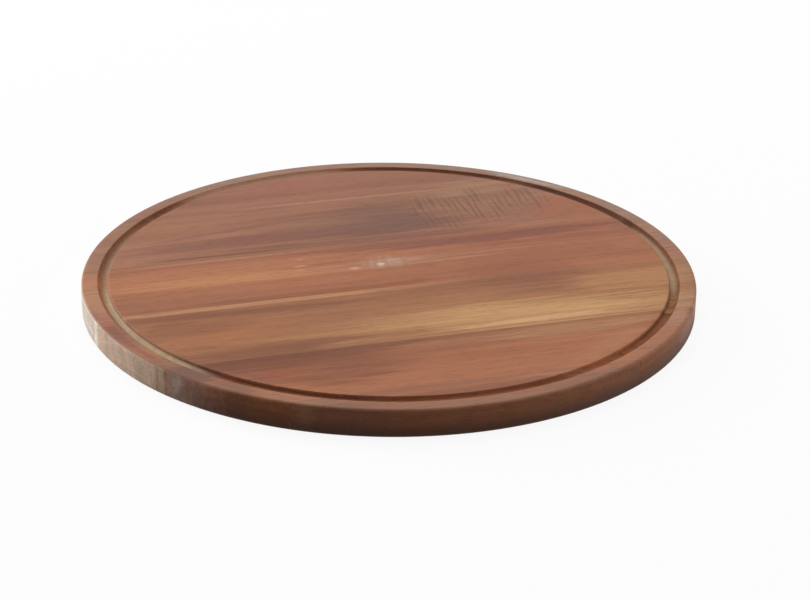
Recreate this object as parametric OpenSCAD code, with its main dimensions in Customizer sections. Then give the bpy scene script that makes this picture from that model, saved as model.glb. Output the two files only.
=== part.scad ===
// Round wooden serving plate, glued up from staves that lie side by side along X.
// A cove-shaped juice groove runs round the top, just inside a flat rim.
// The origin is the centre of the underside, and +Z is up through the serving face.

/* [Plate] */
// Diameter of the finished plate
plate_d = 320; // [300:5:400]
// Thickness of the finished plate
plate_t = 15; // [12:0.5:24]
// Radius of the rounded edge between the serving face and the side
top_edge_r = 1.5; // [0.5:0.25:3]
// Radius of the rounded edge between the underside and the side
bottom_edge_r = 2; // [0.5:0.25:3]

/* [Juice groove] */
// Width of the rim, from the side of the plate to the outer lip of the groove
rim_w = 8.5; // [7:0.5:16]
// Width of the groove from lip to lip, before the lips are eased
groove_w = 5.6; // [4.5:0.1:8]
// Depth of the groove at its middle
groove_depth = 2.4; // [1.5:0.1:4]
// Width of the chamfer that eases each lip of the groove
lip_chamfer = 0.3; // [0.15:0.05:0.6]

/* [Staves] */
// Distance of the first glued joint from the middle of the plate
first_joint_y = 103; // [96:1:112]
// Width of the second stave
stave_2_w = 63.5; // [50:0.5:70]
// Width of the third stave
stave_3_w = 60; // [50:0.5:66]
// Width of the fourth stave
stave_4_w = 61.5; // [50:0.5:66]
// Width of the fifth stave
stave_5_w = 51; // [40:0.5:58]
// Thickness of the cured glue in each joint
glue_t = 0.2; // [0.1:0.05:0.4]

/* [Hidden] */
STAVE_NAMES = ["stave_1", "stave_2", "stave_3", "stave_4", "stave_5", "stave_6"];
GLUE_NAMES = ["glue_line_1", "glue_line_2", "glue_line_3", "glue_line_4", "glue_line_5"];

STAVE_COLOURS = ["#9c6f5c", "#94694f", "#a9734f", "#b0804f", "#9d6a4c", "#a37155"];
GLUE_COLOUR = "#c79d72";

plate_r = plate_d / 2;
inner_widths = [stave_2_w, stave_3_w, stave_4_w, stave_5_w];
last_stave = len(STAVE_NAMES) - 1;

// Overshoot that carries a cut or a slab clear past the faces it passes through
overshoot = 1;

// The groove is part of a circle that meets the serving face at both lips
groove_r = (pow(groove_w / 2, 2) + pow(groove_depth, 2)) / (2 * groove_depth);
groove_mid = plate_r - rim_w - groove_w / 2;
groove_centre_z = plate_t - groove_depth + groove_r;

// The chamfers start this far out from the groove's middle and run down into the groove at 45 degrees
chamfer_top = groove_w / 2 + lip_chamfer;
chamfer_reach = 2 * lip_chamfer;

// Fineness of the round shapes
$fn = 128;

// Back face of joint k: each joint lies one stave and one glue line in front of the joint before it
function joint_back(k) = k == 0 ? first_joint_y : joint_back(k - 1) - glue_t - inner_widths[k - 1];
function joint_front(k) = joint_back(k) - glue_t;

// The outermost staves run out past the rim, and the round outline then trims them
function stave_back(k) = k == 0 ? plate_r + overshoot : joint_front(k - 1);
function stave_front(k) = k == last_stave ? -plate_r - overshoot : joint_back(k);

// Waste outside a quarter circle of radius r, which is taken off a square corner at the origin
module corner_waste(r) {
    difference() {
        translate([-r, -r]) square(r + overshoot);
        translate([-r, -r]) circle(r);
    }
}

// Section of the groove and its chamfered lips, which the cutters take out of the serving face
module groove_section() {
    translate([groove_mid, groove_centre_z]) circle(groove_r);
    translate([groove_mid, plate_t]) polygon([
        [-chamfer_top - overshoot, overshoot],
        [-chamfer_top + chamfer_reach, -chamfer_reach],
        [chamfer_top - chamfer_reach, -chamfer_reach],
        [chamfer_top + overshoot, overshoot]
    ]);
}

// Half section of the plate, from its axis out to its side
module plate_section() {
    difference() {
        square([plate_r, plate_t]);
        translate([plate_r, plate_t]) corner_waste(top_edge_r);
        translate([plate_r, 0]) mirror([0, 1]) corner_waste(bottom_edge_r);
        groove_section();
    }
}

// The slice of the turned plate that lies between two upright planes across Y
module plate_slice(front, back) {
    length = plate_d + 2 * overshoot;
    intersection() {
        rotate_extrude() plate_section();
        translate([-length / 2, front, -overshoot])
            cube([length, back - front, plate_t + 2 * overshoot]);
    }
}

module stave(k) {
    color(STAVE_COLOURS[k]) plate_slice(stave_front(k), stave_back(k));
}

module glue_line(k) {
    color(GLUE_COLOUR) plate_slice(joint_front(k), joint_back(k));
}

stave(0);  // stave_1
stave(1);  // stave_2
stave(2);  // stave_3
stave(3);  // stave_4
stave(4);  // stave_5
stave(5);  // stave_6
glue_line(0);  // glue_line_1
glue_line(1);  // glue_line_2
glue_line(2);  // glue_line_3
glue_line(3);  // glue_line_4
glue_line(4);  // glue_line_5
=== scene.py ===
"""Round cake plate of edge-glued acacia staves with a juice groove, satin-oiled, on a pale studio floor."""

import math
from collections import namedtuple

import bmesh
import bpy
import numpy as np
from bpy.props import FloatProperty, FloatVectorProperty, PointerProperty
from mathutils import Matrix, Vector


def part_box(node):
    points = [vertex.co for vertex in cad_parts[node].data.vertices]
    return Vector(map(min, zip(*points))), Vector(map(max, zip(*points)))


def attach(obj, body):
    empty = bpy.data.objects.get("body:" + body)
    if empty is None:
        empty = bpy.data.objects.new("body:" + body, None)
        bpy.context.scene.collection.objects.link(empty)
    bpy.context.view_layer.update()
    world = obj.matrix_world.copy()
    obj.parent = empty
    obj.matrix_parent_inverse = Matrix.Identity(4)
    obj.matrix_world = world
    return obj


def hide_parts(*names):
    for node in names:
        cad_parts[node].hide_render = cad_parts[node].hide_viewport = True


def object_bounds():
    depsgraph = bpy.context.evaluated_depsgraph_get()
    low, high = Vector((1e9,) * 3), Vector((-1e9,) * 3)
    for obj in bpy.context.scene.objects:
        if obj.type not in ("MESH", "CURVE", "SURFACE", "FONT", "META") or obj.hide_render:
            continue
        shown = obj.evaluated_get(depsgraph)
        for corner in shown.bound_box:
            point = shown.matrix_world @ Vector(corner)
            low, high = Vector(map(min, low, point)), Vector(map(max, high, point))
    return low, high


bl_info = {
    "name": "Cake Plate",
    "version": (1, 0, 0),
    "blender": (4, 5, 0),
    "location": "View3D > Sidebar > Cake Plate",
    "description": "Builds a round plate of edge-glued acacia staves with a juice groove, and its stage",
    "category": "Add Mesh",
}

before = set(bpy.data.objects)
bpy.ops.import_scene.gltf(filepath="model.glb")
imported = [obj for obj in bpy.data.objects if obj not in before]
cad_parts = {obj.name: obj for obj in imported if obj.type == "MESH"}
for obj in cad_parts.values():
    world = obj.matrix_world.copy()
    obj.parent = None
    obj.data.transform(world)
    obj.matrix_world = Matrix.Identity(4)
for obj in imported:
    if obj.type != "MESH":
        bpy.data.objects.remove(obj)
CAD_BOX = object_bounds()

MM = 0.001

# Overall sizes of the plate, read from the frame
PLATE_R = CAD_BOX[1].y
PLATE_T = CAD_BOX[1].z

# Pieces by name, from the far edge of the plate to the near edge
INNER_STAVES = ("stave_2", "stave_3", "stave_4", "stave_5")
EDGE_STAVES = ("stave_1", "stave_6")
GLUE_LINES = ("glue_line_1", "glue_line_2", "glue_line_3", "glue_line_4", "glue_line_5")

# Fineness of the surfaces, in points along each stretch
LIP_POINTS = 8
GROOVE_POINTS = 24
EDGE_POINTS = 10
SIDE_POINTS = 5
MIDDLE_POINTS = 60
STAVE_POINTS = 49
GLUE_POINTS = 2
RIM_POINTS = 181
SEGMENT_POINTS = 14

# Points closer together than this become one, and edges sharper than this angle shade as corners
MERGE_DISTANCE = 1e-6
CORNER_ANGLE = math.radians(40)

# Level stretch of the serving face that belongs to the turned profile, inside the groove's inner lip
LEVEL_MARGIN = 1 * MM

# The floor: half its width, how far it lies below the plate, the grey that it bounces on to the plate, and
# the share of plain white in what the camera sees of it
FLOOR_REACH = 12.0
FLOOR_DROP = 0.02 * MM
FLOOR_BOUNCE = "#909090"
FLOOR_GLOW = 0.91

# The soft lights by name, in metres: place to the right, behind and above the plate as the camera sees it,
# and width
SOFTBOXES = {
    "key": ((-0.15, 0.6, 1.7), 1.6),
    "left": ((-2.6, 1.5, 0.8), 1.6),
    "right": ((2.4, -0.32, 0.64), 1.28),
}

# The picture in pixels: its size, the focal length, and the place of the middle of the plate's underside
IMAGE_W, IMAGE_H = 810, 600
FOCAL_PIXELS = 2435
PLATE_IN_PICTURE = (388.65, 297.8)
SENSOR_W = 36


def linear(hex_colour):
    """An sRGB hex colour as linear red, green, blue and alpha."""
    srgb = np.array([int(hex_colour[i:i + 2], 16) for i in (1, 3, 5)]) / 255
    rgb = np.where(srgb <= 0.04045, srgb / 12.92, ((srgb + 0.055) / 1.055) ** 2.4)
    return (*(float(channel) for channel in rgb), 1.0)


WHITE = linear("#ffffff")


class PlateShape(bpy.types.PropertyGroup):
    """Sizes of the turned profile that the frame's boxes don't give."""

    top_edge_r: FloatProperty(
        name="Top edge", description="Radius of the edge between the serving face and the side",
        default=1.5 * MM, unit="LENGTH", precision=4)
    bottom_edge_r: FloatProperty(
        name="Bottom edge", description="Radius of the edge between the underside and the side",
        default=2.0 * MM, unit="LENGTH", precision=4)
    rim_w: FloatProperty(
        name="Rim", description="Width of the rim outside the groove",
        default=8.5 * MM, unit="LENGTH", precision=4)
    groove_w: FloatProperty(
        name="Groove width", description="Width of the groove between its lips before they are eased",
        default=5.6 * MM, unit="LENGTH", precision=4)
    groove_depth: FloatProperty(
        name="Groove depth", description="Depth of the groove at its middle",
        default=2.4 * MM, unit="LENGTH", precision=4)
    lip_r: FloatProperty(
        name="Lip", description="Radius that eases each lip of the groove",
        default=0.4 * MM, unit="LENGTH", precision=4)


class PlateFinish(bpy.types.PropertyGroup):
    """Finish that all the staves and glue lines share."""

    roughness: FloatProperty(
        name="Roughness", description="Roughness of the oiled serving face",
        default=0.55, subtype="FACTOR", min=0, max=1)
    glue_colour: FloatVectorProperty(
        name="Glue", description="Colour of the cured glue in the joints",
        default=linear("#8a5c41"), size=4, subtype="COLOR", min=0, max=1)
    dry_glue_colour: FloatVectorProperty(
        name="Dry glue", description="Colour of the glue at the dry end grain",
        default=linear("#eadfc6"), size=4, subtype="COLOR", min=0, max=1)


class PlateStage(bpy.types.PropertyGroup):
    """Floor, light and camera."""

    floor_colour: FloatVectorProperty(
        name="Floor", description="Colour of the floor as the camera sees it",
        default=linear("#fbfbfb"), size=4, subtype="COLOR", min=0, max=1)
    key_power: FloatProperty(
        name="Key light", description="Power of the soft light above and behind the plate",
        default=19, unit="POWER")
    side_power: FloatProperty(
        name="Side light", description="Power of the soft light at the left and a little behind the plate",
        default=88, unit="POWER")
    fill_power: FloatProperty(
        name="Fill light", description="Power of the soft light at the right",
        default=16.5, unit="POWER")
    ambient: FloatProperty(
        name="Ambient", description="Strength of the even light from all round",
        default=0.15, min=0)
    azimuth: FloatProperty(
        name="Camera azimuth", description="Angle of the camera round the plate, 0 looking along +Y",
        default=math.radians(-16.6), subtype="ANGLE")
    elevation: FloatProperty(
        name="Camera elevation", description="Angle of the camera above the horizon",
        default=math.radians(24.19), subtype="ANGLE")
    roll: FloatProperty(
        name="Camera roll", description="Turn of the camera about its own line of sight",
        default=math.radians(0.56), subtype="ANGLE")
    distance: FloatProperty(
        name="Camera distance", description="Distance of the camera from the middle of the plate's underside",
        default=8 * PLATE_R, unit="LENGTH")


class PlateSettings(bpy.types.PropertyGroup):
    """All the settings of the plate and its stage."""

    shape: PointerProperty(type=PlateShape)
    finish: PointerProperty(type=PlateFinish)
    stage: PointerProperty(type=PlateStage)


# Surfaces

def arc(centre, radius, start, end, count):
    """Points on a circle, evenly from the start to the end angle in degrees, as (radius, height) rows."""
    angle = np.radians(np.linspace(start, end, count))
    return np.column_stack([centre[0] + radius * np.cos(angle), centre[1] + radius * np.sin(angle)])


def plate_chains(shape):
    """Top and bottom of the plate's half section, as (radius, height) rows from the serving face's level
    middle out to the half height of the side.

    The top runs level, rolls over the inner lip (a small arc), round the groove (a larger arc that bends the
    other way), over the outer lip, along the rim and a quarter turn down to the side. The bottom has one
    point for each point of the top, at the same share of its own level stretch, so that the two pair up.
    """
    groove_r = (shape.groove_w ** 2 / 4 + shape.groove_depth ** 2) / (2 * shape.groove_depth)
    groove_mid = PLATE_R - shape.rim_w - shape.groove_w / 2
    groove_z = PLATE_T - shape.groove_depth + groove_r
    lip_z = PLATE_T - shape.lip_r
    reach = math.sqrt((groove_r + shape.lip_r) ** 2 - (groove_z - lip_z) ** 2)
    tilt = math.degrees(math.atan2(groove_z - lip_z, reach))
    level = np.vstack([
        [[groove_mid - reach - LEVEL_MARGIN, PLATE_T]],
        arc((groove_mid - reach, lip_z), shape.lip_r, 90, tilt, LIP_POINTS),
        arc((groove_mid, groove_z), groove_r, 180 + tilt, 360 - tilt, GROOVE_POINTS)[1:-1],
        arc((groove_mid + reach, lip_z), shape.lip_r, 180 - tilt, 90, LIP_POINTS),
    ])

    def finish(stretch, edge_r, edge_z, start, side_start):
        side = np.linspace(side_start, PLATE_T / 2, SIDE_POINTS)[1:]
        return np.vstack([
            stretch,
            arc((PLATE_R - edge_r, edge_z), edge_r, start, 0, EDGE_POINTS),
            np.column_stack([np.full(len(side), PLATE_R), side]),
        ])

    top_end, bottom_end = PLATE_R - shape.top_edge_r, PLATE_R - shape.bottom_edge_r
    share = (level[:, 0] - level[0, 0]) / (top_end - level[0, 0])
    under = np.column_stack([level[0, 0] + share * (bottom_end - level[0, 0]), np.zeros(len(level))])
    top_z = PLATE_T - shape.top_edge_r
    return (
        finish(level, shape.top_edge_r, top_z, 90, top_z),
        finish(under, shape.bottom_edge_r, shape.bottom_edge_r, -90, shape.bottom_edge_r),
    )


def stave_sheet(chain, y):
    """One face of a piece that runs right across the plate, as a grid of points.

    A point of the chain at radius r lies on the line at y where x is plus or minus the root of r squared
    less y squared. Each line runs from the left side over the level middle to the right side.
    """
    reach = np.sqrt(chain[:, :1] ** 2 - y ** 2)
    middle = np.linspace(-1, 1, MIDDLE_POINTS)[1:-1, None] * reach[0]
    x = np.vstack([-reach[::-1], middle, reach])
    z = np.concatenate([chain[::-1, 1], np.full(len(middle), chain[0, 1]), chain[:, 1]])[:, None]
    return np.stack(np.broadcast_arrays(x, y, z), axis=-1)


def stave_sheets(chains, front, back, count):
    """The four faces of a piece between two upright planes: top, underside and the two glued faces."""
    y = np.linspace(front, back, count)
    top, under = (stave_sheet(chain, y) for chain in chains)
    return [top, under] + [np.stack([top[:, k], under[:, k]], axis=1) for k in (0, -1)]


def segment_sheet(chain, joint):
    """One face of a piece between the rim and a straight joint at the distance joint from the middle.

    A point of the chain at radius r turns about the plate's axis from the joint's one end to its other, so
    its angle goes from the arcsine of joint over r to half a turn less that. The level part inside the chain
    is ruled between the joint and the innermost arc.
    """
    start = np.arcsin(joint / chain[:, :1])
    angle = start + (np.pi - 2 * start) * np.linspace(0, 1, RIM_POINTS)
    x, y = chain[:, :1] * np.cos(angle), chain[:, :1] * np.sin(angle)
    share = np.linspace(0, 1, SEGMENT_POINTS)[:-1, None]
    x = np.vstack([np.broadcast_to(x[0], (len(share), RIM_POINTS)), x])
    y = np.vstack([joint + share * (y[0] - joint), y])
    z = np.concatenate([np.full(len(share), chain[0, 1]), chain[:, 1]])[:, None]
    return np.stack(np.broadcast_arrays(x, y, z), axis=-1)


def segment_sheets(chains, joint):
    """The three faces of an edge piece: top, underside and glued face. A negative joint is the near edge."""
    side = np.array([1, math.copysign(1, joint), 1])
    top, under = (segment_sheet(chain, abs(joint)) * side for chain in chains)
    turned = slice(SEGMENT_POINTS - 1, None)
    seam = [np.vstack([face[turned, 0][::-1], face[0, 1:-1], face[turned, -1]]) for face in (top, under)]
    return [top, under, np.stack(seam, axis=1)]


def closed_mesh(name, sheets):
    """One closed mesh from grids of points that meet along their edges: each grid cell is a quad, points that
    coincide become one, and every face is turned outwards."""
    quads, start = [], 0
    for sheet in sheets:
        rows, columns = sheet.shape[:2]
        index = start + np.arange(rows * columns).reshape(rows, columns)
        corners = (index[:-1, :-1], index[1:, :-1], index[1:, 1:], index[:-1, 1:])
        quads.append(np.stack(corners, axis=-1).reshape(-1, 4))
        start += rows * columns
    points = np.concatenate([sheet.reshape(-1, 3) for sheet in sheets])
    mesh = bpy.data.meshes.new(name)
    mesh.from_pydata(points, [], np.concatenate(quads))
    work = bmesh.new()
    work.from_mesh(mesh)
    bmesh.ops.remove_doubles(work, verts=work.verts, dist=MERGE_DISTANCE)
    bmesh.ops.recalc_face_normals(work, faces=work.faces)
    work.to_mesh(mesh)
    work.free()
    mesh.shade_smooth()
    mesh.set_sharp_from_angle(angle=CORNER_ANGLE)
    return mesh


def add_piece(node, sheets, material):
    """A finished piece that stands for a node of the frame and rides on the plate's one body."""
    mesh = closed_mesh(node + "_piece", sheets)
    mesh.materials.append(material)
    piece = bpy.data.objects.new(node + "_piece", mesh)
    bpy.context.scene.collection.objects.link(piece)
    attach(piece, "root")
    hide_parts(node)


# Materials

# Sockets of the Mix node, whose names repeat: its share, its two numbers and its two colours
SHARE, NUMBER_A, NUMBER_B, COLOUR_A, COLOUR_B = 0, 2, 3, 6, 7

# Setting of a Map Range node that eases in and out
EASED = {"interpolation_type": "SMOOTHSTEP"}


def empty_tree(owner):
    """The node tree of a material or a world, with nothing in it."""
    owner.use_nodes = True
    owner.node_tree.nodes.clear()
    return owner.node_tree


def add(tree, kind, inputs=None, **settings):
    """Add a node, set its properties, and link or set its inputs. A node among the inputs stands for the
    first of its outputs that is in use."""
    node = tree.nodes.new("ShaderNode" + kind)
    for name, value in settings.items():
        setattr(node, name, value)
    for key, value in (inputs or {}).items():
        if isinstance(value, bpy.types.Node):
            value = next(socket for socket in value.outputs if socket.enabled)
        if isinstance(value, bpy.types.NodeSocket):
            tree.links.new(value, node.inputs[key])
        else:
            node.inputs[key].default_value = value
    return node


# A patch of colour in the wood, in millimetres: middle, length along the grain, width across it, turn in
# degrees, colour, how fully it covers, and how much of it is soft edge
Mark = namedtuple("Mark", "x y long wide turn colour strength edge")

# A patch of strokes across the grain, in millimetres: middle, length, width, lean of the strokes in degrees,
# gap between strokes, their length, their colour and how fully they cover
Figure = namedtuple("Figure", "x y long wide lean gap stroke colour strength")

# The wood of one stave: three colours of the face, the colour of its bare end grain with painted light in it,
# the place of the pith in millimetres, the slant of the grain in degrees in plan and in side view, the width
# of a growth band in millimetres, the marks and figure of the face, and the patches of the bare end: glue
# lines and pale smudges that carry its painted light
Wood = namedtuple(
    "Wood", "dark ground light end pith slant dive band marks figures scuffs", defaults=((), ()))

WOODS = {
    "stave_1": Wood("#7f4f36", "#905d44", "#a16b51", "#c2a893", (150, -70), 0.8, 0.3, 8, marks=(
        Mark(-18, 132, 130, 26, 1, "#985b4a", 0.55, 0.7),
        Mark(-60, 118, 120, 10, 1, "#86533b", 0.5, 0.6),
        Mark(50, 122, 150, 16, -1, "#87563e", 0.5, 0.6),
        Mark(84, 107, 80, 16, -6, "#a07757", 0.7, 0.7),
        Mark(-40, 110, 130, 10, 0, "#9a654b", 0.5, 0.7),
        Mark(0, 104.2, 210, 5, 0, "#ab7b5e", 0.75, 0.7),
        # Painted highlight along the far right rim's rounded outer edge
        Mark(113.2, 105.6, 68, 8, -47, "#c7b8a9", 0.85, 0.8),
    )),
    "stave_2": Wood("#7f4f35", "#905d43", "#a16b4f", "#cdb29b", (60, -45), 1.2, -0.4, 8, marks=(
        Mark(-100, 90, 130, 34, 1, "#a06c4b", 0.65, 0.7),
        Mark(-20, 97, 130, 14, 3, "#9a664b", 0.5, 0.7),
        Mark(5, 86, 150, 14, 12, "#82573e", 0.5, 0.6),
        Mark(-60, 60, 170, 26, 3, "#784735", 0.75, 0.7),
        Mark(-60, 77, 120, 5, 9, "#7f4f38", 0.5, 0.6),
        Mark(10, 58, 130, 26, 2, "#6f4336", 0.75, 0.7),
        Mark(18, 72, 104, 66, 0, "#6d483a", 0.75, 0.9),
        Mark(32, 70, 48, 42, 0, "#684438", 0.5, 0.9),
        Mark(20, 44, 170, 9, 0, "#744431", 0.6, 0.6),
        Mark(-70, 44, 100, 4, 0, "#723b1a", 0.7, 0.6),
        Mark(-52, 48, 90, 6, 0, "#724126", 0.65, 0.8),
        Mark(-28, 71, 72, 9, 3, "#7b4f35", 0.5, 0.9),
        Mark(54, 70, 38, 15, 0, "#724a31", 0.55, 0.9),
        Mark(60, 50, 52, 7, 0, "#7b4b33", 0.5, 0.9),
        Mark(92, 95, 42, 16, -12, "#a57b5b", 0.45, 0.9),
        Mark(0, 53, 320, 34, 0, "#72412a", 0.22, 0.9),
        Mark(76, 78, 90, 66, 0, "#8d6248", 0.6, 0.7),
        Mark(66, 97, 90, 18, -3, "#9e7659", 0.65, 0.8),
        Mark(124, 60, 60, 54, 3, "#9c5c3b", 0.7, 0.6),
        # Painted highlight along the far right rim's rounded outer edge
        Mark(113.2, 105.6, 68, 8, -47, "#c7b8a9", 0.85, 0.8),
        Mark(108, 93, 36, 12, -47, "#9c7660", 0.5, 0.9),
    ), figures=(
        Figure(50, 72, 40, 66, -2, 3.8, 22, "#4f2205", 0.5),
        Figure(74, 76, 40, 68, -2, 3.8, 22, "#4f2205", 0.5),
        Figure(101, 78, 36, 52, -2, 3.8, 20, "#592a05", 0.4),
    )),
    "stave_3": Wood("#8a502e", "#9c5e3d", "#ae6c49", "#e6d4c4", (0, -110), 0.5, 0.2, 6, marks=(
        Mark(-78, 38.4, 130, 4, 0, "#b17856", 0.8, 0.5),
        Mark(-95, 24, 190, 20, 0, "#ad6e48", 0.75, 0.6),
        Mark(-85, 12, 240, 21, 0, "#be8052", 0.85, 0.95),
        Mark(84, 31, 190, 16, 1, "#753e30", 0.8, 0.6),
        Mark(14, 34, 130, 14, 0, "#7f4b36", 0.7, 0.6),
        Mark(85, 21, 160, 7, 0, "#864b33", 0.6, 0.6),
        Mark(72, 13.2, 150, 5, 0, "#b17854", 0.5, 0.9),
        Mark(5, 12, 90, 18, 0, "#ab7659", 0.55, 0.7),
        Mark(-30, -1, 260, 16, 0, "#a96843", 0.5, 0.7),
        Mark(-50, -16, 230, 8, 0, "#8a4b28", 0.7, 0.6),
        Mark(-60, -20.4, 240, 3.6, 0, "#be865c", 0.85, 0.6),
        Mark(66, -16, 90, 34, 0, "#7d462e", 0.5, 0.8),
        Mark(2, 12.5, 34, 22, 0, "#b18d76", 0.45, 0.9),
        Mark(-1.4, 10.8, 6, 5.5, 0, "#eac9b1", 0.8, 0.9),
        Mark(6, 14, 11, 8, 0, "#c09a82", 0.5, 0.9),
        Mark(-16, 9, 8, 5.5, 0, "#d79e7f", 0.7, 0.9),
        Mark(-41, 27.5, 7, 3, 0, "#bc826b", 0.6, 0.8),
        Mark(-42.2, 19, 11, 2.2, 0, "#c9937b", 0.8, 0.5),
        Mark(-44, 14, 7, 3.6, 0, "#c48d74", 0.65, 0.8),
        Mark(-155, 2, 18, 50, 0, "#ba8259", 0.75, 0.7),
        Mark(-154, -18, 14, 7, -82, "#b66147", 0.65, 0.8),
        Mark(-153, 27, 20, 30, 0, "#ba7b54", 0.7, 0.8),
        Mark(112, 24, 60, 34, 0, "#7d442a", 0.3, 0.9),
        Mark(140, 22, 24, 26, 0, "#7d4f3b", 0.5, 0.9),
        Mark(17, 13, 18, 6, 0, "#ba8d6f", 0.5, 0.9),
        Mark(40, 8, 66, 6.5, 0, "#b67f5b", 0.65, 0.9),
        Mark(136, 2, 28, 16, 0, "#ab6f4c", 0.5, 0.9),
    ), figures=(
        Figure(2, 13, 38, 24, -8, 5, 12, "#c09a84", 0.28),
    ), scuffs=(
        Mark(-158.2, -20.0, 10, 3.6, 0, "#fff6e0", 0.9, 0.5),
        Mark(-156, 8, 40, 10, 0, "#cbb49c", 0.4, 0.9),
    )),
    "stave_4": Wood("#8b5630", "#9b633d", "#ab7048", "#e2c0a6", (-60, -55), -0.8, 0.3, 7, marks=(
        Mark(-70, -22.2, 220, 3.8, 0, "#bc865c", 0.9, 0.6),
        Mark(-88, -29.5, 180, 13, -1, "#7b4426", 0.85, 0.6),
        Mark(-108, -26.5, 66, 9, 0, "#78411d", 0.65, 0.9),
        Mark(10, -29, 150, 16, 2, "#8d5633", 0.6, 0.6),
        Mark(64, -27, 90, 42, 2, "#76402a", 0.55, 0.8),
        Mark(-96, -54, 100, 26, 0, "#a96738", 0.6, 0.7),
        Mark(-116, -44, 90, 22, 4, "#884c2c", 0.6, 0.7),
        Mark(-6, -61, 150, 28, 0, "#b47e52", 0.7, 0.8),
        Mark(-84, -77, 170, 22, 1, "#7f4a28", 0.9, 0.7),
        Mark(-124, -36, 36, 9, 0, "#783e1a", 0.55, 0.9),
        Mark(114, -74, 44, 10, 0, "#c2956b", 0.55, 0.9),
        Mark(-114, -66, 42, 9, 0, "#824a24", 0.5, 0.9),
        Mark(58, -70, 250, 52, -1, "#be8d5c", 0.9, 0.7),
        Mark(124, -42, 90, 34, 2, "#b68052", 0.75, 0.7),
        Mark(60, -66, 140, 16, -2, "#cb9b67", 0.6, 0.7),
        Mark(52, -76.5, 104, 7.5, 1, "#d1a073", 0.8, 0.6),
        Mark(20, -45, 120, 22, 3, "#ab7047", 0.6, 0.8),
        Mark(34, -57, 64, 16, 0, "#c7935e", 0.5, 0.9),
        Mark(-151, -39, 34, 11, -76, "#783822", 0.85, 0.8),
        Mark(-153.2, -25, 14, 8, -80, "#b45741", 0.7, 0.8),
        Mark(-147, -53, 22, 7, -70, "#8d3822", 0.7, 0.8),
        Mark(-141, -67, 22, 6, -65, "#953826", 0.75, 0.8),
        Mark(98, -53, 80, 2.6, 1, "#936038", 0.6, 0.6),
        Mark(106, -59, 80, 2.6, 1, "#9a663d", 0.6, 0.6),
        Mark(96, -47, 80, 2.6, 1, "#915c36", 0.5, 0.6),
    ), scuffs=(
        Mark(-158.2, -22.0, 10, 3.6, 0, "#fff6e0", 0.9, 0.5),
        Mark(-154, -36, 30, 8, 0, "#ad967f", 0.4, 0.9),
        Mark(-150, -52, 30, 9, 0, "#cfae98", 0.4, 0.9),
        Mark(-142, -66, 30, 10, 0, "#b3a587", 0.35, 0.9),
        Mark(-137, -78.6, 20, 2.2, 0, "#8a6e56", 0.5, 0.8),
        Mark(-137, -81.6, 20, 2.6, 0, "#d8c0a4", 0.6, 0.8),
    )),
    "stave_5": Wood("#864d28", "#985b36", "#a96843", "#cc9c88", (-120, -80), 0.8, 0.3, 7, marks=(
        Mark(-84, -90, 150, 32, 0, "#6d3514", 0.8, 0.7),
        Mark(-70, -85, 150, 10, 0, "#683314", 0.7, 0.7),
        Mark(16, -90, 90, 12, 0, "#a26947", 0.75, 0.7),
        Mark(50, -84, 150, 5, 0, "#8d5835", 0.6, 0.6),
        Mark(-50, -106, 90, 34, 0, "#74381a", 0.75, 0.9),
        Mark(-88, -102, 52, 14, 3, "#8d3e17", 0.65, 0.9),
        Mark(-78, -111, 60, 18, -8, "#7d3e11", 0.7, 0.9),
        Mark(70, -90, 130, 20, 1, "#af7b53", 0.75, 0.7),
        Mark(10, -108, 130, 14, 0, "#91532c", 0.5, 0.6),
        Mark(20, -124, 160, 12, 0, "#a26743", 0.55, 0.7),
        Mark(-56, -121, 52, 10, -6, "#7d3b05", 0.65, 0.9),
        Mark(99, -92, 40, 9, 4, "#b48460", 0.55, 0.9),
        Mark(-124, -95, 40, 15, -52, "#683824", 0.85, 0.7),
        Mark(-108, -112, 32, 15, -45, "#76442c", 0.75, 0.7),
        Mark(125, -93, 36, 15, 55, "#ad7b5e", 0.85, 0.7),
        Mark(80, -114, 96, 18, 32, "#af764f", 0.6, 0.9),
        Mark(-98, -103, 40, 10, -45, "#764835", 0.6, 0.9),
    ), scuffs=(
        Mark(-136, -84, 20, 2, 0, "#9a7c66", 0.5, 0.8),
        Mark(-133, -90, 20, 9, 0, "#dcc8b8", 0.7, 0.8),
    )),
    "stave_6": Wood("#844e2e", "#955c3d", "#a76949", "#8a5a40", (-170, -60), 0.6, 0.3, 7, marks=(
        Mark(-76, -137.5, 30, 7, -8, "#b4825c", 0.6, 0.7),
        Mark(0, -143, 130, 8, 0, "#8a5231", 0.6, 0.6),
        Mark(46, -136, 70, 7, 0, "#a97252", 0.6, 0.8),
        Mark(-62, -144, 50, 13, -25, "#7f503b", 0.7, 0.7),
    )),
}

# Bare wood on the groove's floor where it crosses the ends of the fibres, also laid as painted light on the
# far walls, and wood that hands have made dry, also laid as painted sheen on the far rim
DRY_GROOVE = "#c4ab8c"
WORN = "#988272"

# Stretches of the groove with painted light and painted shade on its walls: direction and reach in degrees,
# share and tone
GROOVE_LIGHT_AND_SHADE = (
    (-80, 36, 0.75, 1.15),
    (22, 24, 0.5, 0.25),
    (64, 30, 0.7, 0.9),
    (103, 27, 1.0, 1.6),
    (145, 32, 0.55, 1.1),
    (-177, 22, 0.6, 0.95),
)

# Stretches round the plate: direction and reach in degrees, and share. The groove's floor is dry at the left,
# the right and the far left, its far walls get painted light, and the far rim is worn most, with painted
# sheen over the wear
DRY_LEFT = (-166, 29, 0.9)
DRY_RIGHT = (-7, 21, 0.85)
DRY_FAR_LEFT = (160, 24, 0.45)
PAINTED_LIGHT_FAR_WALLS = (103, 23, 0.55)
FAR_RIM_WEAR_AND_SHEEN = (60, 80, 2.0)

# Depths below the serving face at which the painted shade of the groove's walls and its dry floor begin and
# are full
WALL_BEGINS, WALL_FULL = 0.3 * MM, 0.9 * MM
FLOOR_BEGINS, FLOOR_FULL = 0.8 * MM, 1.7 * MM

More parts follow.
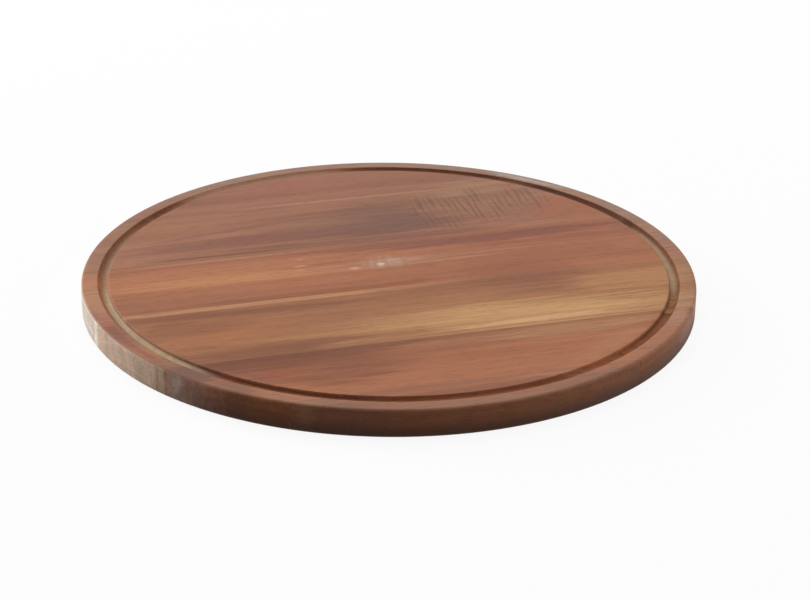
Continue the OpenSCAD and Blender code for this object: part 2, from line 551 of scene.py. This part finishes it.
# Depths behind the plate's outline at which its side and the wear of its edge begin and are full
SIDE_BEGINS, SIDE_FULL = 0.4 * MM, 0.05 * MM
EDGE_BEGINS, EDGE_FULL = 2.5 * MM, 0.5 * MM

# Shares of wear on the rim and on its outer edge, and the depths below the serving face where it ends
RIM_WEAR, EDGE_WEAR = 0.2, 0.08
WEAR_ENDS, WEAR_FULL = 1.5 * MM, 0.5 * MM

# Shares of the radius along -X at which the bare end begins and is full, and how far the mottling shifts them
END_BEGINS, END_FULL, END_SHIFT = -0.74, -1.03, -0.16

# Most of a noise's values lie in this span, about this middle
NOISE_SPAN = {"From Min": 0.3, "From Max": 0.7}
NOISE_MIDDLE = (0.5, 0.5, 0.5)

# Tones that the patterns give to the colour under them, from their lowest value to their highest
FIBRE_TONES = {"To Min": 0.86, "To Max": 1.14}
PORE_TONES = {"To Min": 1, "To Max": 0.76}
RING_TONES = {"To Min": 0.84, "To Max": 1.12}
MOTTLE_TONES = {"To Min": 0.8, "To Max": 1.14}
# Painted shade on the side, darkest at the foot
FOOT_SHADE_TONES = {"To Min": 0.26, "To Max": 0.95}
# Painted shade on the groove's outer and inner walls
OUTER_WALL_SHADE_TONES = {"To Min": 0.85, "To Max": 0.48}
INNER_WALL_SHADE_TONES = {"To Min": 1, "To Max": 0.48}
SPECK_TONES = {"To Min": 0.75, "To Max": 1.1}

# Places of the dark, middle and light brown on the scale of the grain's tone
BROWN_STOPS = (0.36, 0.5, 0.64)

# Slow bend of the grain along, across and through the board
WANDER = (12 * MM, 6 * MM, 6 * MM)

# How far noise frays the outline of a mark and of a figure, along and across, in shares of their half size
MARK_FRAY = (1.2, 0.9, 0)
FIGURE_FRAY = (0.6, 0.9, 0)

# Scale at which a wave texture repeats once in each unit
ONE_WAVE = math.pi / 10

# Where a point of the plate lies: its place, its x and z, its place in plan, its distance from the axis,
# and from 0 to 1 whether it is on the upright side
Places = namedtuple("Places", "place x z plan radius upright")

# Patterns of the wood: growth bands, streaks, lines, fibres, pores and mottling as values, the tones of
# fibres with pores and of mottling, and the noises that break up the edges of marks
Grain = namedtuple("Grain", "bands streaks lines fibres pores mottle tone mottle_tone fray tongues")

# The groove: from 0 to 1 whether a point is in it, the painted light and shade of its walls, and the share of
# dry wood
Groove = namedtuple("Groove", "inside tone dry")


def places_on_plate(tree):
    """Where a point of the plate lies. Its distance from the axis is the length of its place in plan."""
    place = add(tree, "TexCoord").outputs["Object"]
    parts = add(tree, "SeparateXYZ", {0: place})
    plan = add(tree, "VectorMath", {0: place, 1: (1, 1, 0)}, operation="MULTIPLY")
    radius = add(tree, "VectorMath", {0: plan}, operation="LENGTH")
    upright = add(tree, "MapRange", {
        "Value": radius, "From Min": PLATE_R - SIDE_BEGINS, "From Max": PLATE_R - SIDE_FULL}, **EASED)
    return Places(place, parts.outputs["X"], parts.outputs["Z"], plan, radius, upright)


def side_and_low_edge(tree, places, shape):
    """From 0 to 1, whether a point is on the upright side or on the rounded edge below it."""
    outermost = add(tree, "MapRange", {
        "Value": places.radius, "From Min": PLATE_R - shape.bottom_edge_r,
        "From Max": PLATE_R - 0.6 * shape.bottom_edge_r}, **EASED)
    lower_half = add(tree, "Math", {0: places.z, 1: PLATE_T / 2}, operation="LESS_THAN")
    low_edge = add(tree, "Math", {0: outermost, 1: lower_half}, operation="MULTIPLY")
    return add(tree, "Math", {0: places.upright, 1: low_edge}, operation="MAXIMUM")


def stretch_round(tree, direction, toward, reach, most):
    """Share of a stretch round the plate: the most near a direction and none at the reach to either side,
    in degrees."""
    angle = math.radians(toward)
    facing = add(tree, "VectorMath", {0: direction, 1: (math.cos(angle), math.sin(angle), 0)},
                 operation="DOT_PRODUCT")
    return add(tree, "MapRange", {
        "Value": facing, "From Min": math.cos(math.radians(reach)),
        "From Max": math.cos(math.radians(reach / 2)), "To Max": most}, **EASED)


def blotches(tree, place, sizes, detail, roughness, slant=0.0):
    """Noise whose blotches have real sizes along, across and through the board, in millimetres, turned
    with the slant of the grain."""
    sized = add(tree, "Mapping", {
        "Vector": place, "Rotation": (0, 0, slant), "Scale": [size * MM for size in sizes]},
        vector_type="TEXTURE")
    return add(tree, "TexNoise", {"Vector": sized, "Scale": 1, "Detail": detail, "Roughness": roughness})


def ellipse(tree, place, fray, raggedness, patch, turn=0.0):
    """Share of a patch's ellipse, 1 at its middle and 0 from its edge on, its outline frayed by noise."""
    local = add(tree, "Mapping", {
        "Vector": place, "Location": (patch.x * MM, patch.y * MM, 0),
        "Rotation": (0, 0, math.radians(turn)),
        "Scale": (patch.long * MM / 2, patch.wide * MM / 2, 1)}, vector_type="TEXTURE")
    frayed = add(tree, "VectorMath", {0: fray, 1: raggedness, 2: local}, operation="MULTIPLY_ADD")
    return add(tree, "TexGradient", {"Vector": frayed}, gradient_type="SPHERICAL").outputs["Fac"]


def overlay_marks(tree, place, grain, colour, marks):
    """Lay patches over a colour: ellipses that fade to their edges, broken into tongues along the grain."""
    for mark in marks:
        inside = ellipse(tree, place, grain.fray, MARK_FRAY, mark, mark.turn)
        broken = add(tree, "Math", {0: inside, 1: grain.tongues}, operation="MULTIPLY")
        share = add(tree, "MapRange", {
            "Value": broken, "From Max": mark.edge, "To Max": mark.strength}, **EASED)
        colour = add(tree, "Mix", {SHARE: share, COLOUR_A: colour, COLOUR_B: linear(mark.colour)},
                     data_type="RGBA")
    return colour


def overlay_figures(tree, place, grain, colour, figures):
    """Lay strokes across the grain over a colour, inside ellipses that fade to their edges: wavy fibres and
    rays that meet the face at a slant show in this way. The strokes are waves with gaps from noise."""
    for figure in figures:
        inside = ellipse(tree, place, grain.fray, FIGURE_FRAY, figure)
        cover = add(tree, "MapRange", {
            "Value": inside, "From Max": 0.6, "To Max": figure.strength}, **EASED)
        leaning = add(tree, "Mapping", {
            "Vector": place, "Rotation": (0, 0, math.radians(figure.lean)),
            "Scale": (figure.gap * MM, figure.stroke * MM, 1)}, vector_type="TEXTURE")
        waves = add(tree, "TexWave", {
            "Vector": leaning, "Scale": ONE_WAVE, "Distortion": 4, "Detail": 1, "Detail Scale": 3})
        gaps = add(tree, "TexNoise", {"Vector": leaning, "Scale": 0.8, "Detail": 1})
        strokes = add(tree, "Math", {0: waves.outputs["Fac"], 1: gaps}, operation="MULTIPLY")
        soft = add(tree, "MapRange", {"Value": strokes, "From Min": 0.18, "From Max": 0.6}, **EASED)
        share = add(tree, "Math", {0: soft, 1: cover}, operation="MULTIPLY")
        colour = add(tree, "Mix", {SHARE: share, COLOUR_A: colour, COLOUR_B: linear(figure.colour)},
                     data_type="RGBA")
    return colour


def wood_grain(tree, place, wood):
    """Patterns of one stave's wood, all along a grain that wanders slowly."""
    slant = math.radians(wood.slant)

    # Slow wander of the grain, a few millimetres over a hand's breadth
    wander = blotches(tree, place, (110, 35, 35), 2, 0.5)
    centred = add(tree, "VectorMath", {0: wander.outputs["Color"], 1: NOISE_MIDDLE}, operation="SUBTRACT")
    bent = add(tree, "VectorMath", {0: centred, 1: WANDER, 2: place}, operation="MULTIPLY_ADD")

    # Growth bands: uneven layers about a pith that runs nearly along the stave
    about_pith = add(tree, "Mapping", {
        "Vector": bent, "Location": (0, wood.pith[0] * MM, wood.pith[1] * MM),
        "Rotation": (0, math.radians(wood.dive), slant)}, vector_type="TEXTURE")
    across = add(tree, "VectorMath", {0: about_pith, 1: (0, 1, 1)}, operation="MULTIPLY")
    distance = add(tree, "VectorMath", {0: across}, operation="LENGTH")
    layer = add(tree, "Math", {0: distance, 1: wood.band * MM}, operation="DIVIDE")
    bands = add(tree, "TexNoise", {"W": layer, "Scale": 1, "Detail": 3, "Roughness": 0.55},
                noise_dimensions="1D")

    # Streaks along the grain, 5 mm apart and about 250 mm long, and finer lines between them
    streaks = blotches(tree, bent, (250, 5, 5), 4, 0.6, slant)
    lines = blotches(tree, bent, (120, 2.4, 2.4), 3, 0.6)

    # Fibres: fine lines along the grain, drawn 0.8 mm wide so that they show
    fibres = blotches(tree, bent, (60, 0.8, 0.8), 2, 0.5)
    fibre_tone = add(tree, "MapRange", {"Value": fibres, "From Min": 0.25, "From Max": 0.75, **FIBRE_TONES})

    # Pores: open vessels seen as short dark dashes, drawn about 0.6 mm wide and 5 mm long so that they show
    vessels = add(tree, "Mapping", {"Vector": bent, "Scale": (11 * MM, 1.3 * MM, 1.3 * MM)},
                  vector_type="TEXTURE")
    cells = add(tree, "TexVoronoi", {"Vector": vessels, "Scale": 1, "Randomness": 1})
    pores = add(tree, "MapRange", {
        "Value": cells, "From Min": 0.2, "From Max": 0.3, "To Min": 1, "To Max": 0}, **EASED)
    pore_tone = add(tree, "MapRange", {"Value": pores, **PORE_TONES})
    tone = add(tree, "Math", {0: fibre_tone, 1: pore_tone}, operation="MULTIPLY")

    # Mottling of bare wood by the sander, in blotches of 5 to 9 mm
    mottle = blotches(tree, place, (5, 5, 9), 5, 0.7)
    mottle_tone = add(tree, "MapRange", {"Value": mottle, **NOISE_SPAN, **MOTTLE_TONES})

    # Edges of marks: feathered along the grain by one noise and broken into tongues by the lines
    feather = blotches(tree, place, (60, 6, 6), 3, 0.6)
    fray = add(tree, "VectorMath", {0: feather.outputs["Color"], 1: NOISE_MIDDLE}, operation="SUBTRACT")
    tongues = add(tree, "MapRange", {"Value": lines, **NOISE_SPAN, "To Min": 0.5, "To Max": 1.5})
    return Grain(bands, streaks, lines, fibres, pores, mottle, tone, mottle_tone, fray, tongues)


def face_colour(tree, place, grain, wood):
    """Colour of the oiled face: three browns by growth band and streak, then the marks and figure."""
    tone = add(tree, "Mix", {SHARE: 0.5, NUMBER_A: grain.bands, NUMBER_B: grain.streaks})
    browns = add(tree, "ValToRGB", {0: tone})
    stops = browns.color_ramp.elements
    stops.new(BROWN_STOPS[1])
    for stop, position, brown in zip(stops, BROWN_STOPS, (wood.dark, wood.ground, wood.light)):
        stop.position = position
        stop.color = linear(brown)
    marked = overlay_marks(tree, place, grain, browns, wood.marks)
    return overlay_figures(tree, place, grain, marked, wood.figures)


def bare_end(tree, places, along, grain, side, wood):
    """Colour and share of the bare end grain at the left: growth rings and open vessels, mottled by the
    sander, and pale partly from the end grain itself and partly as painted light. It is full where x over the
    radius nears -1, and fades unevenly."""
    ring_tone = add(tree, "MapRange", {"Value": grain.bands, **NOISE_SPAN, **RING_TONES})
    ring_grain = add(tree, "Math", {0: ring_tone, 1: grain.tone}, operation="MULTIPLY")
    tone = add(tree, "Math", {0: grain.mottle_tone, 1: ring_grain}, operation="MULTIPLY")
    # Painted light: the end colour is pale partly because it stands in for the light at the left
    lit_end_wood = add(tree, "RGB")
    lit_end_wood.outputs[0].default_value = linear(wood.end)
    scuffed = overlay_marks(tree, places.place, grain, lit_end_wood, wood.scuffs)
    colour = add(tree, "VectorMath", {0: scuffed, "Scale": tone}, operation="SCALE")
    uneven = add(tree, "Math", {0: grain.mottle, 1: END_SHIFT, 2: along}, operation="MULTIPLY_ADD")
    endness = add(tree, "MapRange", {"Value": uneven, "From Min": END_BEGINS, "From Max": END_FULL}, **EASED)
    share = add(tree, "Math", {0: endness, 1: side}, operation="MULTIPLY")
    return colour, share


def cut_groove(tree, places, direction, along, shape):
    """The groove, cut last: painted shade on its walls, from just under the outer lip and deeper under the
    inner one, dry wood low down at the ends of the fibres, and painted light on the far walls, which lie in
    shade."""
    half = shape.groove_w / 2
    outward = add(tree, "Math", {0: places.radius, 1: PLATE_R - shape.rim_w - half}, operation="SUBTRACT")
    off_middle = add(tree, "Math", {0: outward}, operation="ABSOLUTE")
    near = add(tree, "Math", {0: off_middle, 1: half + 0.3 * MM}, operation="LESS_THAN")
    upper_half = add(tree, "Math", {0: places.z, 1: PLATE_T / 2}, operation="GREATER_THAN")
    over_groove = add(tree, "Math", {0: near, 1: upper_half}, operation="MULTIPLY")
    tilted = add(tree, "Math", {0: outward, 1: -0.13, 2: places.z}, operation="MULTIPLY_ADD")
    below_lips = add(tree, "MapRange", {
        "Value": tilted, "From Min": PLATE_T - WALL_FULL, "From Max": PLATE_T - WALL_BEGINS,
        "To Min": 1, "To Max": 0}, **EASED)
    inside = add(tree, "Math", {0: over_groove, 1: below_lips}, operation="MULTIPLY")

    # Painted shade of the walls, with painted light and painted shade stretch by stretch round the plate
    outer_wall_shade = add(tree, "MapRange", {
        "Value": outward, "From Min": 0.2 * half, "From Max": 0.75 * half, **OUTER_WALL_SHADE_TONES}, **EASED)
    inner_wall_shade = add(tree, "MapRange", {
        "Value": outward, "From Min": -0.4 * half, "From Max": -0.8 * half, **INNER_WALL_SHADE_TONES}, **EASED)
    walls = add(tree, "Math", {0: outer_wall_shade, 1: inner_wall_shade}, operation="MULTIPLY")
    for toward, reach, most, wall_tone in GROOVE_LIGHT_AND_SHADE:
        share = stretch_round(tree, direction, toward, reach, most)
        walls = add(tree, "Mix", {SHARE: share, NUMBER_A: walls, NUMBER_B: wall_tone})
    tone = add(tree, "Mix", {SHARE: inside, NUMBER_A: 1.0, NUMBER_B: walls})

    # Share of dry wood on the floor, leaning to its inner side, and of painted light on the far walls
    left, right, far_left, far_walls_light = (
        stretch_round(tree, direction, *stretch)
        for stretch in (DRY_LEFT, DRY_RIGHT, DRY_FAR_LEFT, PAINTED_LIGHT_FAR_WALLS))
    left_and_right = add(tree, "Math", {0: left, 1: right}, operation="ADD")
    ends = add(tree, "Math", {0: left_and_right, 1: far_left}, operation="MAXIMUM")
    sideways = add(tree, "Math", {0: along, 1: -0.1 * half, 2: outward}, operation="MULTIPLY_ADD")
    inner_side = add(tree, "MapRange", {
        "Value": sideways, "From Min": -0.2 * half, "From Max": 0.7 * half,
        "To Min": 1, "To Max": 0.1}, **EASED)
    dry_ends = add(tree, "Math", {0: ends, 1: inner_side}, operation="MULTIPLY")
    deep = add(tree, "MapRange", {
        "Value": places.z, "From Min": PLATE_T - FLOOR_BEGINS, "From Max": PLATE_T - FLOOR_FULL}, **EASED)
    floor = add(tree, "Math", {0: deep, 1: over_groove}, operation="MULTIPLY")
    # Painted light: pale dry wood is laid on the far walls, which lie in shade
    rubbed = add(tree, "Math", {0: inside, 1: far_walls_light}, operation="MULTIPLY")
    dry = add(tree, "Math", {0: dry_ends, 1: floor, 2: rubbed}, operation="MULTIPLY_ADD")
    return Groove(inside, tone, dry)


def rim_wear(tree, places, direction, grain, shape):
    """Share of wear, in streaks: hands have taken the oil off the rim and its edge, and at the far side the
    rim is made paler still as painted sheen.
    """
    on_rim = add(tree, "MapRange", {
        "Value": places.radius, "From Min": PLATE_R - shape.rim_w, "From Max": PLATE_R - shape.rim_w + MM,
        "To Max": RIM_WEAR})
    on_edge = add(tree, "MapRange", {
        "Value": places.radius, "From Min": PLATE_R - EDGE_BEGINS, "From Max": PLATE_R - EDGE_FULL,
        "To Max": EDGE_WEAR})
    far_side = stretch_round(tree, direction, *FAR_RIM_WEAR_AND_SHEEN)
    # Painted sheen: the far side of the rim is made paler than its wear alone
    far_rim_wear_and_sheen = add(tree, "Math", {0: on_rim, 1: far_side}, operation="MULTIPLY")
    rim = add(tree, "Math", {0: on_rim, 1: far_rim_wear_and_sheen}, operation="ADD")
    worn_and_sheened = add(tree, "Math", {0: rim, 1: on_edge}, operation="ADD")
    patchy = add(tree, "MapRange", {"Value": grain.lines, **NOISE_SPAN, "To Min": 0.4, "To Max": 1.3})
    streaky = add(tree, "Math", {0: worn_and_sheened, 1: patchy}, operation="MULTIPLY")
    topmost = add(tree, "MapRange", {
        "Value": places.z, "From Min": PLATE_T - WEAR_ENDS, "From Max": PLATE_T - WEAR_FULL})
    return add(tree, "Math", {0: streaky, 1: topmost}, operation="MULTIPLY")


def acacia(node, settings):
    """Acacia heartwood, sawn, sanded across the joints and rubbed with oil: a satin face with soft bands of
    brown that follow the growth rings, finer streaks along the grain and short open pores. The left end was
    left bare, so its end grain is dry, and its paleness there is partly painted light. The groove was cut
    last: its walls carry painted shade, its far walls painted light, and its floor is dry at the ends. The
    side carries painted shade, darkest at the foot, and the far rim painted sheen over its wear."""
    wood, shape, satin = WOODS[node], settings.shape, settings.finish.roughness
    material = bpy.data.materials.new(f"Oiled acacia, {node}")
    tree = empty_tree(material)
    places = places_on_plate(tree)
    grain = wood_grain(tree, places.place, wood)
    side = side_and_low_edge(tree, places, shape)
    direction = add(tree, "VectorMath", {0: places.plan}, operation="NORMALIZE")
    along = add(tree, "Math", {0: places.x, 1: places.radius}, operation="DIVIDE")
    groove = cut_groove(tree, places, direction, along, shape)
    lit_end_colour, lit_end_share = bare_end(tree, places, along, grain, side, wood)

    # Painted shade on the oiled side, darkest at the foot
    foot = add(tree, "MapRange", {
        "Value": places.z, "From Min": 0.08 * PLATE_T, "From Max": 0.75 * PLATE_T, **FOOT_SHADE_TONES}, **EASED)
    side_shade = add(tree, "Mix", {SHARE: side, NUMBER_A: 1.0, NUMBER_B: foot})

    # Face, wear with painted sheen, grain and the painted light and shade together, then the dry wood of the
    # groove, with painted light on its far walls, and the end, pale partly as painted light, over them
    wear_and_sheen = rim_wear(tree, places, direction, grain, shape)
    face = face_colour(tree, places.place, grain, wood)
    worn_and_sheened = add(tree, "Mix", {SHARE: wear_and_sheen, COLOUR_A: face, COLOUR_B: linear(WORN)}, data_type="RGBA")
    painted_light_and_shade = add(tree, "Math", {0: side_shade, 1: groove.tone}, operation="MULTIPLY")
    tone = add(tree, "Math", {0: grain.tone, 1: painted_light_and_shade}, operation="MULTIPLY")
    oiled = add(tree, "VectorMath", {0: worn_and_sheened, "Scale": tone}, operation="SCALE")
    dry_colour = add(tree, "VectorMath", {0: linear(DRY_GROOVE)[:3], "Scale": grain.mottle_tone},
                     operation="SCALE")
    grooved = add(tree, "Mix", {SHARE: groove.dry, COLOUR_A: oiled, COLOUR_B: dry_colour}, data_type="RGBA")
    colour = add(tree, "Mix", {SHARE: lit_end_share, COLOUR_A: grooved, COLOUR_B: lit_end_colour}, data_type="RGBA")

    # Relief of the pores and fibres, and the uneven gloss of the oil
    height = add(tree, "Math", {0: grain.pores, 1: -1.0, 2: grain.fibres}, operation="MULTIPLY_ADD")
    bump = add(tree, "Bump", {"Strength": 0.2, "Distance": 0.12 * MM, "Height": height})
    gloss = add(tree, "MapRange", {
        "Value": grain.streaks, **NOISE_SPAN, "To Min": satin - 0.05, "To Max": satin + 0.07})
    roughness = add(tree, "Math", {0: groove.inside, 1: 0.3, 2: gloss}, operation="MULTIPLY_ADD")
    surface = add(tree, "BsdfPrincipled", {
        "Base Color": colour, "Roughness": roughness, "IOR": 1.5, "Specular IOR Level": 0.25,
        "Normal": bump})
    add(tree, "OutputMaterial", {"Surface": surface})
    return material


def cured_glue(finish):
    """White wood glue, squeezed out and sanded flush: under oil it is a dull brown line close to the wood's
    own colour, mottled by the dust caught in it, and on the bare left end it keeps its cream colour."""
    material = bpy.data.materials.new("Cured wood glue")
    tree = empty_tree(material)
    places = places_on_plate(tree)
    specks = blotches(tree, places.place, (6, 1, 1), 3, 0.6)
    tone = add(tree, "MapRange", {"Value": specks, **NOISE_SPAN, **SPECK_TONES})

    # The bare end: far enough out along -X on the side
    left = add(tree, "MapRange", {
        "Value": places.x, "From Min": -0.75 * PLATE_R, "From Max": -0.96 * PLATE_R}, **EASED)
    dry = add(tree, "Math", {0: left, 1: places.upright}, operation="MULTIPLY")
    colour = add(tree, "Mix", {
        SHARE: dry, COLOUR_A: tuple(finish.glue_colour), COLOUR_B: tuple(finish.dry_glue_colour)},
        data_type="RGBA")
    shade = add(tree, "VectorMath", {0: colour, "Scale": tone}, operation="SCALE")
    bump = add(tree, "Bump", {"Strength": 0.2, "Distance": 0.05 * MM, "Height": specks})
    surface = add(tree, "BsdfPrincipled", {
        "Base Color": shade, "Roughness": 0.5, "IOR": 1.48, "Specular IOR Level": 0.25, "Normal": bump})
    add(tree, "OutputMaterial", {"Surface": surface})
    return material


# Stage

def seen_directly(tree):
    """1 for what the camera sees straight, in a reflection or through glass, and 0 for light on its way."""
    path = add(tree, "LightPath")
    seen = add(tree, "Math", {0: path.outputs["Is Camera Ray"], 1: path.outputs["Is Glossy Ray"]},
               operation="MAXIMUM")
    return add(tree, "Math", {0: seen, 1: path.outputs["Is Transmission Ray"]}, operation="MAXIMUM")


def add_floor(stage):
    """A wide level sheet under the plate. Seen directly or in a reflection it is nearly white and takes the
    plate's shadow, and for light that it bounces it is grey, so that the plate's side stays as dark as on a
    dim table."""
    mesh = bpy.data.meshes.new("floor")
    edges = [-FLOOR_REACH, FLOOR_REACH]
    grid = np.stack(np.meshgrid(edges, edges), -1).reshape(-1, 2)
    mesh.from_pydata(np.column_stack([grid, np.full(4, -FLOOR_DROP)]), [], [[0, 1, 3, 2]])
    material = bpy.data.materials.new("Studio floor")
    tree = empty_tree(material)
    seen = seen_directly(tree)
    colour = add(tree, "Mix", {
        SHARE: seen, COLOUR_A: linear(FLOOR_BOUNCE), COLOUR_B: tuple(stage.floor_colour)}, data_type="RGBA")
    matt = add(tree, "BsdfDiffuse", {"Color": colour})
    glow = add(tree, "Emission", {"Color": WHITE, "Strength": 1})
    share = add(tree, "Math", {0: seen, 1: FLOOR_GLOW}, operation="MULTIPLY")
    mixed = add(tree, "MixShader", {0: share, 1: matt, 2: glow})
    add(tree, "OutputMaterial", {"Surface": mixed})
    mesh.materials.append(material)
    floor = bpy.data.objects.new("floor", mesh)
    bpy.context.scene.collection.objects.link(floor)


def add_softbox(name, place, size, power):
    """A square area light that faces the middle of the plate."""
    lamp = bpy.data.lights.new(name, "AREA")
    lamp.shape = "SQUARE"
    lamp.size = size
    lamp.energy = power
    softbox = bpy.data.objects.new(name, lamp)
    softbox.location = place
    softbox.rotation_euler = place.to_track_quat("Z", "Y").to_euler()
    bpy.context.scene.collection.objects.link(softbox)


def light_scene(scene, stage):
    """A large softbox above and behind the plate, one low at the left and a little behind, one at the right,
    and even light all round that the camera and reflections see as white."""
    turn = Matrix.Rotation(stage.azimuth, 3, "Z")
    powers = {"key": stage.key_power, "left": stage.side_power, "right": stage.fill_power}
    for name, (place, size) in SOFTBOXES.items():
        add_softbox(name, turn @ Vector(place), size, powers[name])
    world = bpy.data.worlds.new("Studio")
    tree = empty_tree(world)
    strength = add(tree, "Mix", {SHARE: seen_directly(tree), NUMBER_A: stage.ambient, NUMBER_B: 1.0})
    light = add(tree, "Background", {"Color": WHITE, "Strength": strength})
    add(tree, "OutputWorld", {"Surface": light})
    scene.world = world


def aim_camera(scene, stage):
    """A long lens from a little above, shifted so that the plate stands left of the picture's middle."""
    lens = bpy.data.cameras.new("camera")
    lens.sensor_width = SENSOR_W
    lens.lens = FOCAL_PIXELS / IMAGE_W * SENSOR_W
    lens.shift_x = (IMAGE_W / 2 - PLATE_IN_PICTURE[0]) / IMAGE_W
    lens.shift_y = (PLATE_IN_PICTURE[1] - IMAGE_H / 2) / IMAGE_W
    camera = bpy.data.objects.new("camera", lens)
    level = math.cos(stage.elevation)
    back = Vector((
        math.sin(stage.azimuth) * level, -math.cos(stage.azimuth) * level, math.sin(stage.elevation)))
    facing = back.to_track_quat("Z", "Y").to_matrix() @ Matrix.Rotation(stage.roll, 3, "Z")
    camera.location = back * stage.distance
    camera.rotation_euler = facing.to_euler()
    scene.collection.objects.link(camera)
    scene.camera = camera


# Operators

class CAKEPLATE_OT_inner_staves(bpy.types.Operator):
    """Build the staves that run right across the plate"""

    bl_idname = "cake_plate.inner_staves"
    bl_label = "Inner Staves"

    def execute(self, context):
        settings = context.scene.cake_plate
        chains = plate_chains(settings.shape)
        for node in INNER_STAVES:
            low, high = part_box(node)
            wood = acacia(node, settings)
            add_piece(node, stave_sheets(chains, low.y, high.y, STAVE_POINTS), wood)
        return {"FINISHED"}


class CAKEPLATE_OT_edge_staves(bpy.types.Operator):
    """Build the two staves at the far and near edges of the plate"""

    bl_idname = "cake_plate.edge_staves"
    bl_label = "Edge Staves"

    def execute(self, context):
        settings = context.scene.cake_plate
        chains = plate_chains(settings.shape)
        for node in EDGE_STAVES:
            low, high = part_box(node)
            joint = low.y if low.y > 0 else high.y
            wood = acacia(node, settings)
            add_piece(node, segment_sheets(chains, joint), wood)
        return {"FINISHED"}


class CAKEPLATE_OT_glue_lines(bpy.types.Operator):
    """Build the films of glue between the staves"""

    bl_idname = "cake_plate.glue_lines"
    bl_label = "Glue Lines"

    def execute(self, context):
        settings = context.scene.cake_plate
        chains = plate_chains(settings.shape)
        glue = cured_glue(settings.finish)
        for node in GLUE_LINES:
            low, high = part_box(node)
            add_piece(node, stave_sheets(chains, low.y, high.y, GLUE_POINTS), glue)
        return {"FINISHED"}


class CAKEPLATE_OT_stage(bpy.types.Operator):
    """Set up the floor, the soft light and the camera"""

    bl_idname = "cake_plate.stage"
    bl_label = "Stage"

    def execute(self, context):
        stage = context.scene.cake_plate.stage
        add_floor(stage)
        light_scene(context.scene, stage)
        aim_camera(context.scene, stage)
        context.scene.view_settings.view_transform = "Standard"
        return {"FINISHED"}


class CAKEPLATE_PT_panel(bpy.types.Panel):
    """Sizes, colours and build buttons"""

    bl_label = "Cake Plate"
    bl_space_type = "VIEW_3D"
    bl_region_type = "UI"
    bl_category = "Cake Plate"

    def draw(self, context):
        settings = context.scene.cake_plate
        for operator in OPERATORS:
            self.layout.operator(operator.bl_idname)
        for group in (settings.shape, settings.finish, settings.stage):
            box = self.layout.box()
            for name in group.__annotations__:
                box.prop(group, name)


OPERATORS = (
    CAKEPLATE_OT_inner_staves,
    CAKEPLATE_OT_edge_staves,
    CAKEPLATE_OT_glue_lines,
    CAKEPLATE_OT_stage,
)
CLASSES = (PlateShape, PlateFinish, PlateStage, PlateSettings, *OPERATORS, CAKEPLATE_PT_panel)


def register():
    for cls in CLASSES:
        bpy.utils.register_class(cls)
    bpy.types.Scene.cake_plate = PointerProperty(type=PlateSettings)


def unregister():
    del bpy.types.Scene.cake_plate
    for cls in reversed(CLASSES):
        bpy.utils.unregister_class(cls)


def main():
    register()
    bpy.ops.cake_plate.inner_staves()
    bpy.ops.cake_plate.edge_staves()
    bpy.ops.cake_plate.glue_lines()
    bpy.ops.cake_plate.stage()


if __name__ == "__main__":
    main()
